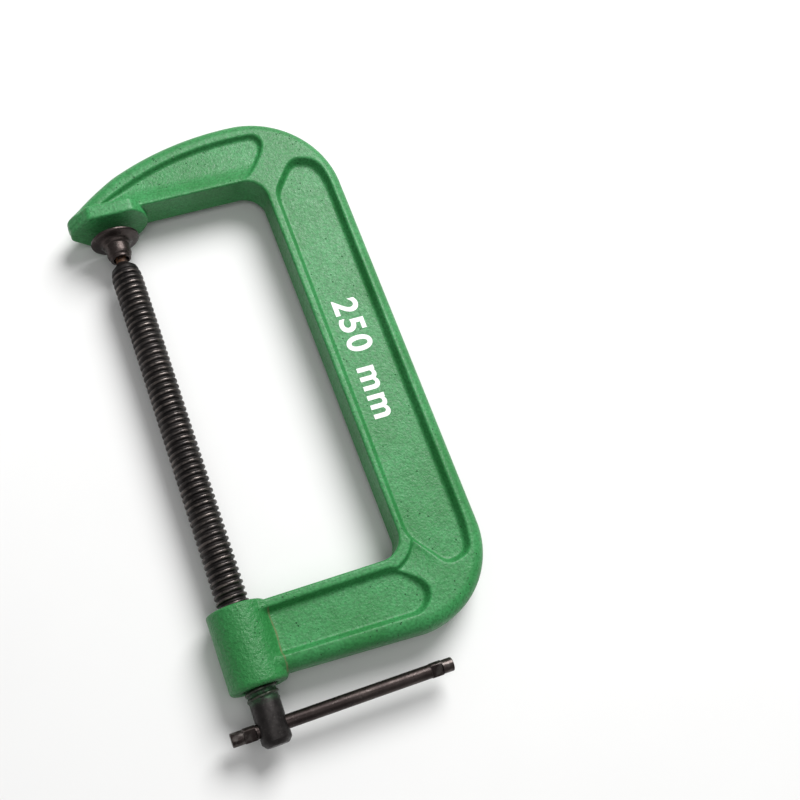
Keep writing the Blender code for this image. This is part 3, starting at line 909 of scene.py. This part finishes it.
def screw_material():
    """Black oxide, worn and lighter on the crests, partly as a painted highlight, darker in the
    roots, rusty at the neck.
    """
    n = Nodes("screw_black_oxide")
    x, y, z = n.axes()
    radius = n.math("SQRT", n.math("ADD", n.math("MULTIPLY", x, x), n.math("MULTIPLY", z, z)))
    colour = steel_base(n, SCREW_DARK, SCREW_LIGHT)
    # the crests are lighter: partly worn oxide, partly a painted highlight
    crest_wear_and_highlight = n.span(radius, 9.3 * MM, 9.95 * MM)
    crest_wear_and_highlight = n.math("MULTIPLY", crest_wear_and_highlight, n.span(n.noise(150, 5, 0.7), 0.36, 0.66))
    colour = n.mix(n.math("MULTIPLY", crest_wear_and_highlight, 0.65), colour, SCREW_CREST_WEAR_AND_HIGHLIGHT)
    # the thread's roots are darker
    root = n.span(radius, 8.2 * MM, 9.2 * MM, 1, 0)
    thread = n.math("MULTIPLY", n.span(y, -289 * MM, -286 * MM), n.span(y, 4 * MM, 6 * MM, 1, 0))
    root = n.math("MULTIPLY", root, thread)
    colour = n.mix(n.math("MULTIPLY", root, 0.6), colour, SCREW_ROOT_DARK)
    neck = n.math("MULTIPLY", n.span(y, 8.6 * MM, 10.0 * MM), n.span(n.noise(500, 4), 0.3, 0.6))
    colour = n.mix(n.math("MULTIPLY", neck, 0.8), colour, NECK_RUST)
    spray = n.math("MULTIPLY", n.span(y, -277 * MM, -279 * MM), n.span(y, -291 * MM, -284 * MM))
    spray = n.math("MULTIPLY", spray, n.span(n.noise(300, 4, 0.7), 0.33, 0.55))
    spray = n.math("MULTIPLY", spray, n.span(radius, 9.2 * MM, 9.9 * MM, 0.85, 0.25))
    colour = n.mix(spray, colour, OVERSPRAY)
    normal = n.bump(n.noise(900, 3), 0.05, 0.5)
    normal = n.bump(n.noise(120, 3, 0.5, (1, 14, 1)), 0.08, 0.35, normal)
    roughness = n.span(n.noise(420, 4), 0.3, 0.7, 0.30, 0.52)
    roughness = n.math("ADD", roughness, n.math("MULTIPLY", n.math("ADD", root, neck), 0.22))
    roughness = n.math("SUBTRACT", roughness, n.math("MULTIPLY", crest_wear_and_highlight, 0.08))
    return n.finish(
        Base_Color=colour,
        Metallic=n.math("SUBTRACT", 0.85, n.math("MULTIPLY", n.math("ADD", neck, spray), 0.6)),
        Roughness=roughness,
        Normal=normal,
    )


def plain_steel_material(name, stretch, ends=False):
    """Black oxide over turned or drawn steel, with fine tool marks along one direction."""
    n = Nodes(name)
    x = n.axes()[0]
    colour = steel_base(n, BAR_DARK, BAR_LIGHT)
    scuff = n.span(n.noise(90, 6, 0.75, distortion=0.6), 0.58, 0.7)
    colour = n.mix(n.math("MULTIPLY", scuff, 0.45), colour, BAR_SCUFF)
    if ends:
        left = n.span(x, -12 * MM, -15 * MM)
        right = n.span(x, 100 * MM, 103 * MM)
        tip = n.math("MULTIPLY", n.math("ADD", left, right), n.span(n.noise(300, 5), 0.4, 0.65))
        colour = n.mix(n.math("MULTIPLY", tip, 0.4), colour, BAR_TIP)
    lines = n.noise(260, 3, 0.6, stretch)
    normal = n.bump(lines, 0.08, 0.6)
    normal = n.bump(n.noise(900, 3), 0.08, 0.6, normal)
    roughness = n.span(n.noise(200, 4), 0.3, 0.7, 0.26, 0.44)
    return n.finish(
        Base_Color=colour,
        Metallic=0.85,
        Roughness=n.math("SUBTRACT", roughness, n.math("MULTIPLY", scuff, 0.06)),
        Normal=normal,
    )


def mark_material():
    n = Nodes("white_print")
    worn = n.span(n.noise(500, 5, 0.7), 0.62, 0.78)
    colour = n.mix(n.span(n.noise(60, 3), 0.3, 0.7), PRINT, PRINT_LIGHT)
    colour = n.mix(n.math("MULTIPLY", worn, 0.7), colour, PRINT_WORN)
    return n.finish(
        Base_Color=colour,
        Roughness=n.span(n.noise(300, 3), 0.3, 0.7, 0.4, 0.55),
        Normal=n.bump(n.noise(620, 4), 0.2, 0.4),
    )


def floor_material():
    n = Nodes("pale_floor")
    colour = n.mix(n.span(n.noise(3, 3), 0.3, 0.7), FLOOR, FLOOR_LIGHT)
    return n.finish(
        Base_Color=colour,
        Roughness=n.span(n.noise(40, 3), 0.3, 0.7, 0.7, 0.8),
        Normal=n.bump(n.noise(900, 2), 0.02, 0.2),
    )


# Surroundings


def add_light(name, place, size, power):
    """A round soft light aimed at the object."""
    light = bpy.data.lights.new(name, "AREA")
    light.shape = "DISK"
    light.size = size
    light.energy = power
    obj = bpy.data.objects.new(name, light)
    obj.location = place
    aim = Vector((0, 0, 0.02)) - Vector(place)
    obj.rotation_euler = aim.to_track_quat("-Z", "Y").to_euler()
    bpy.context.scene.collection.objects.link(obj)


def add_surroundings():
    half = FLOOR_HALF
    mesh = bpy.data.meshes.new("floor")
    corners = [(-half, -half, 0), (half, -half, 0), (half, half, 0), (-half, half, 0)]
    mesh.from_pydata(corners, [], [(0, 1, 2, 3)])
    mesh.materials.append(floor_material())
    floor = bpy.data.objects.new("floor", mesh)
    bpy.context.scene.collection.objects.link(floor)
    floor.location.z = -FLOOR_GAP

    world = bpy.data.worlds.new("studio")
    bpy.context.scene.world = world
    world.use_nodes = True
    background = world.node_tree.nodes["Background"]
    background.inputs["Color"].default_value = (1, 1, 1, 1)
    background.inputs["Strength"].default_value = WORLD_STRENGTH
    add_light("key", KEY_PLACE, LIGHT_SIZE, KEY_POWER)
    add_light("fill", FILL_PLACE, LIGHT_SIZE, FILL_POWER)
    bpy.context.scene.view_settings.view_transform = "Standard"


def add_camera():
    """The photographer's viewpoint, over the clamp's handle end."""
    right = Vector(CAMERA_RIGHT)
    down = Vector(CAMERA_DOWN)
    back = right.cross(-down).normalized()
    up = back.cross(right).normalized()
    camera = bpy.data.cameras.new("camera")
    camera.sensor_width = 36.0
    camera.lens = CAMERA_LENS
    camera.shift_x, camera.shift_y = CAMERA_SHIFT
    camera.clip_start = 0.01
    obj = bpy.data.objects.new("camera", camera)
    place = Vector(CAMERA_PLACE) * MM + ORIGIN
    turn = Matrix((right.normalized(), up, back)).transposed().to_4x4()
    obj.matrix_world = Matrix.Translation(place) @ turn
    bpy.context.scene.collection.objects.link(obj)
    bpy.context.scene.camera = obj


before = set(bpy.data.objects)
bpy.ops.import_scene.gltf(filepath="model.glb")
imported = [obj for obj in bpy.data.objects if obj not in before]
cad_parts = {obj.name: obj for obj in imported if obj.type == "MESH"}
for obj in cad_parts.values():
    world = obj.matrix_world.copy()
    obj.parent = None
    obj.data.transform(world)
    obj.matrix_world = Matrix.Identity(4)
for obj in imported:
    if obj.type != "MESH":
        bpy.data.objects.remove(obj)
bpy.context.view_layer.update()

pad_low, pad_high = (Vector(v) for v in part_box("swivel_pad"))
ORIGIN = Vector(
    ((pad_low.x + pad_high.x) / 2, pad_high.y - PAD_FACE_Y * MM, (pad_low.z + pad_high.z) / 2)
)

paint = paint_material()
pad_steel = plain_steel_material("pad_black_oxide", (1, 12, 1))
bar_steel = plain_steel_material("bar_black_oxide", (0.15, 1, 1), ends=True)
make_piece("casting", casting_mesh(), "frame", paint, "frame_casting")
make_piece("boss_thread", bore_thread_mesh(), "frame", paint)
make_piece("size_mark", mark_mesh(), "frame", mark_material())
make_piece("screw", screw_mesh(), "spindle", screw_material(), "spindle")
make_piece("shoe", pad_mesh(), "pad", pad_steel, "swivel_pad")
make_piece("handle", handle_mesh(), "tommy_bar", bar_steel, "tommy_bar")

add_surroundings()
add_camera()
